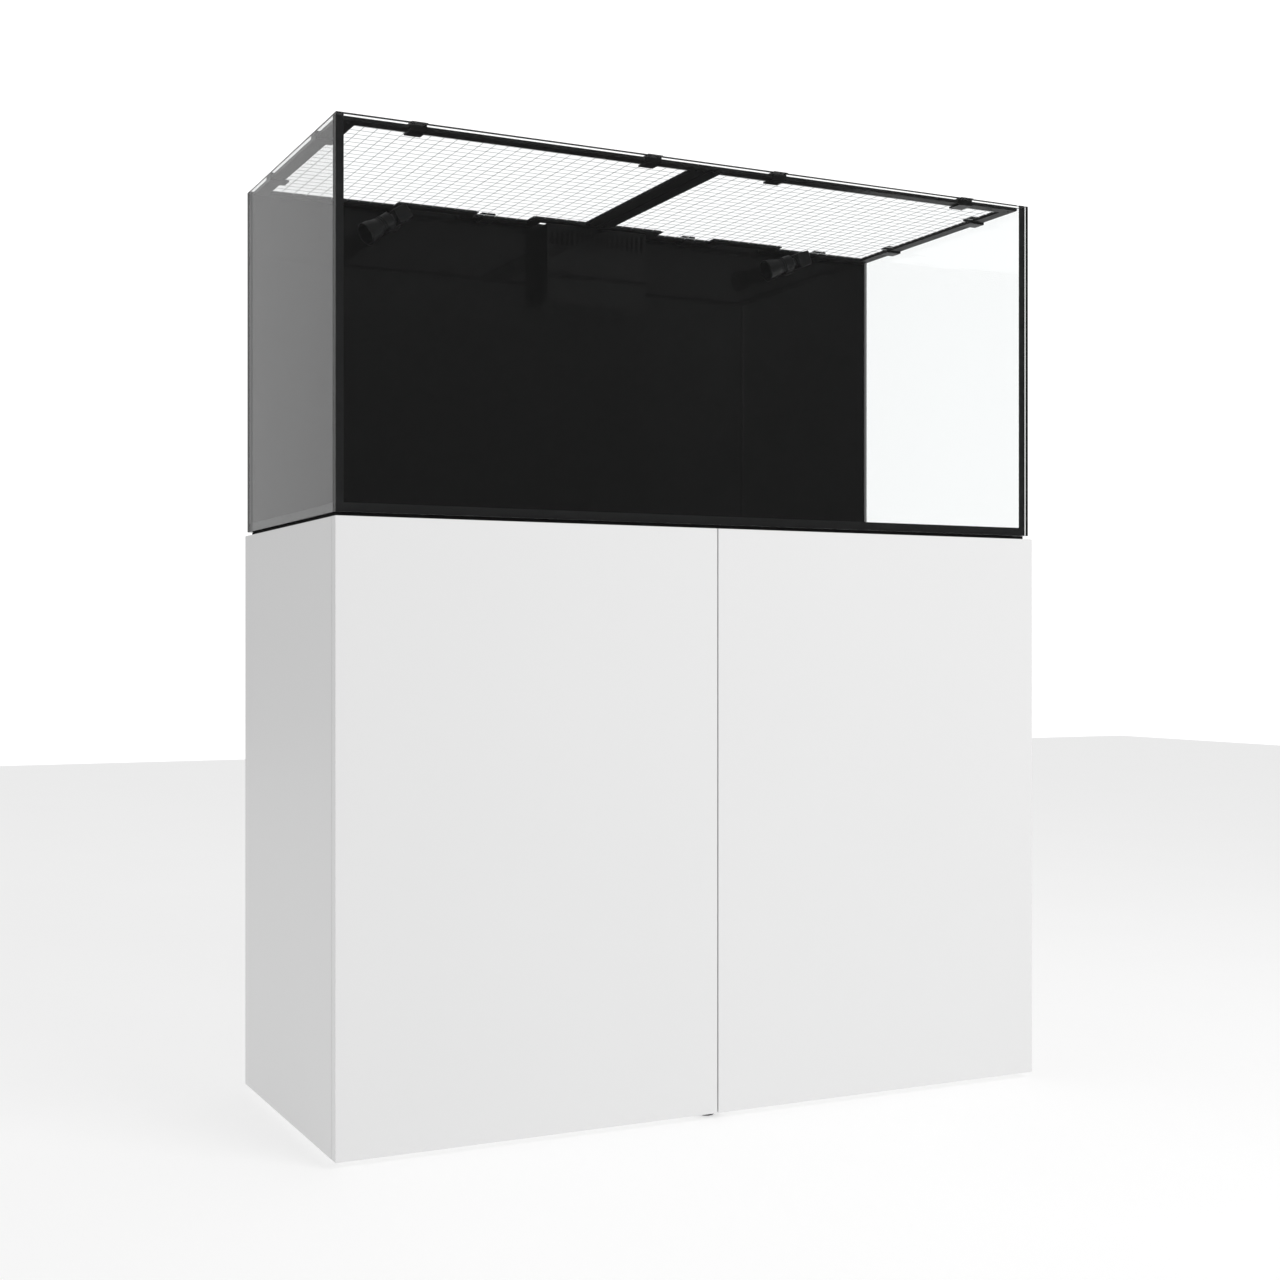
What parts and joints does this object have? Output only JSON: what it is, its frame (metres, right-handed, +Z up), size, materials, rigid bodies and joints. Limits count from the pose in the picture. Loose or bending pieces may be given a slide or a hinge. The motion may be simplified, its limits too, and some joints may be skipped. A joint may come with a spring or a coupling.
{
  "type": "aquarium on stand",
  "caption": "Glass aquarium with black rear pane, netted lid, overflow and return nozzles on a white cabinet with doors and a sump inside.",
  "frame": {"origin": "on the floor under the middle of the whole depth and width", "axes": "+X to the viewer's right across the doors, +Y from the doors towards the back, +Z up"},
  "size_m": [1.2, 0.5802, 1.461],
  "materials": {
    "white_board": "white lacquered board, satin",
    "clear_glass": "clear float glass, polished edges",
    "black_glass": "glass painted black on its rear face",
    "silicone": "black aquarium silicone",
    "foam": "black closed-cell foam mat",
    "black_frame": "black powder-coated lid bar",
    "clear_net": "clear nylon netting",
    "black_clip": "black moulded clip",
    "black_acrylic": "black cast acrylic",
    "black_fitting": "black moulded fitting",
    "grey_pipe": "dark grey pressure pipe",
    "red_knob": "red moulded knob",
    "hinge_steel": "nickel-plated hinge steel",
    "black_rubber_foot": "black moulded levelling foot",
    "sump_acrylic": "clear acrylic",
    "pump_body": "black pump housing"
  },
  "bodies": {
    "tank_and_cabinet": {"left_side_panel": "white_board", "right_side_panel": "white_board", "floor_panel": "white_board", "top_panel": "white_board", "back_panel": "white_board", "centre_post": "white_board", "left_lower_hinge_arm": "hinge_steel", "left_upper_hinge_arm": "hinge_steel", "right_lower_hinge_arm": "hinge_steel", "right_upper_hinge_arm": "hinge_steel", "front_pane": "clear_glass", "back_pane": "black_glass", "left_pane": "clear_glass", "right_pane": "clear_glass", "base_pane": "clear_glass", "silicone_seams": "silicone", "levelling_mat": "foam", "weir_box": "black_acrylic", "weir_comb": "black_acrylic", "rear_box": "black_acrylic", "main_drain": "grey_pipe", "emergency_drain": "grey_pipe", "return_pipe": "grey_pipe", "left_nozzle_base": "black_fitting", "right_nozzle_base": "black_fitting", "sump_tank": "sump_acrylic", "return_pump": "pump_body"},
    "left_door_leaf": {"left_door": "white_board", "left_lower_hinge_cup": "hinge_steel", "left_upper_hinge_cup": "hinge_steel"},
    "right_door_leaf": {"right_door": "white_board", "right_lower_hinge_cup": "hinge_steel", "right_upper_hinge_cup": "hinge_steel"},
    "left_lid": {"left_lid_frame": "black_frame", "left_lid_net": "clear_net", "left_front_clip_1": "black_clip", "left_front_clip_2": "black_clip", "left_rear_clip_1": "black_clip", "left_side_clip_1": "black_clip", "left_side_clip_2": "black_clip"},
    "right_lid": {"right_lid_frame": "black_frame", "right_lid_net": "clear_net", "right_front_clip_1": "black_clip", "right_front_clip_2": "black_clip", "right_rear_clip_1": "black_clip", "right_rear_clip_2": "black_clip", "right_side_clip_1": "black_clip", "right_side_clip_2": "black_clip"},
    "left_elbow": {"left_nozzle_elbow": "black_fitting"},
    "left_outlet": {"left_nozzle_tip": "black_fitting"},
    "right_elbow": {"right_nozzle_elbow": "black_fitting"},
    "right_outlet": {"right_nozzle_tip": "black_fitting"},
    "valve_handle": {"valve_knob": "red_knob"},
    "left_plunger": {"left_latch_plunger": "black_fitting"},
    "right_plunger": {"right_latch_plunger": "black_fitting"},
    "front_left_leveller": {"front_left_foot": "black_rubber_foot"},
    "front_right_leveller": {"front_right_foot": "black_rubber_foot"},
    "rear_left_leveller": {"rear_left_foot": "black_rubber_foot"},
    "rear_right_leveller": {"rear_right_foot": "black_rubber_foot"},
    "centre_leveller": {"centre_foot": "black_rubber_foot"}
  },
  "joints": [
    {"name": "left_door_swing", "type": "hinge", "parent": "tank_and_cabinet", "child": "left_door_leaf", "pos_m": [-0.6, -0.27315, 0.4555], "axis": [0, 0, -1], "range_deg": [0, 105]},
    {"name": "right_door_swing", "type": "hinge", "parent": "tank_and_cabinet", "child": "right_door_leaf", "pos_m": [0.6, -0.27315, 0.4555], "axis": [0, 0, 1], "range_deg": [0, 105]},
    {"name": "left_lid_lift", "type": "slide", "parent": "tank_and_cabinet", "child": "left_lid", "axis": [0, 0, 1], "range_m": [0, 0.15]},
    {"name": "right_lid_lift", "type": "slide", "parent": "tank_and_cabinet", "child": "right_lid", "axis": [0, 0, 1], "range_m": [0, 0.15]},
    {"name": "left_nozzle_swivel", "type": "hinge", "parent": "tank_and_cabinet", "child": "left_elbow", "pos_m": [-0.35999, 0.14235, 1.4339], "axis": [0, 1, 0], "range_deg": [-60, 20]},
    {"name": "left_nozzle_tilt", "type": "hinge", "parent": "left_elbow", "child": "left_outlet", "pos_m": [-0.38629, 0.13628, 1.41671], "axis": [-0.5472, 0, 0.837], "range_deg": [-15, 15]},
    {"name": "right_nozzle_swivel", "type": "hinge", "parent": "tank_and_cabinet", "child": "right_elbow", "pos_m": [0.411, 0.14235, 1.4339], "axis": [0, 1, 0], "range_deg": [-60, 12]},
    {"name": "right_nozzle_tilt", "type": "hinge", "parent": "right_elbow", "child": "right_outlet", "pos_m": [0.38093, 0.14261, 1.42296], "axis": [-0.342, 0, 0.9397], "range_deg": [-15, 15]},
    {"name": "drain_valve_turn", "type": "hinge", "parent": "tank_and_cabinet", "child": "valve_handle", "pos_m": [-0.075, -0.05615, 0.54], "axis": [0, -1, 0], "range_deg": [0, 90]},
    {"name": "left_latch_press", "type": "slide", "parent": "tank_and_cabinet", "child": "left_plunger", "axis": [0, 1, 0], "range_m": [0, 0.006], "stiffness_N_per_m": 150},
    {"name": "right_latch_press", "type": "slide", "parent": "tank_and_cabinet", "child": "right_plunger", "axis": [0, 1, 0], "range_m": [0, 0.006], "stiffness_N_per_m": 150},
    {"name": "front_left_foot_turn", "type": "hinge", "parent": "tank_and_cabinet", "child": "front_left_leveller", "pos_m": [-0.53, -0.21515, 0], "axis": [0, 0, 1], "continuous": true},
    {"name": "front_right_foot_turn", "type": "hinge", "parent": "tank_and_cabinet", "child": "front_right_leveller", "pos_m": [0.53, -0.21515, 0], "axis": [0, 0, 1], "continuous": true},
    {"name": "rear_left_foot_turn", "type": "hinge", "parent": "tank_and_cabinet", "child": "rear_left_leveller", "pos_m": [-0.53, 0.15285, 0], "axis": [0, 0, 1], "continuous": true},
    {"name": "rear_right_foot_turn", "type": "hinge", "parent": "tank_and_cabinet", "child": "rear_right_leveller", "pos_m": [0.53, 0.15285, 0], "axis": [0, 0, 1], "continuous": true},
    {"name": "centre_foot_turn", "type": "hinge", "parent": "tank_and_cabinet", "child": "centre_leveller", "pos_m": [0, -0.25215, 0], "axis": [0, 0, 1], "continuous": true}
  ]
}
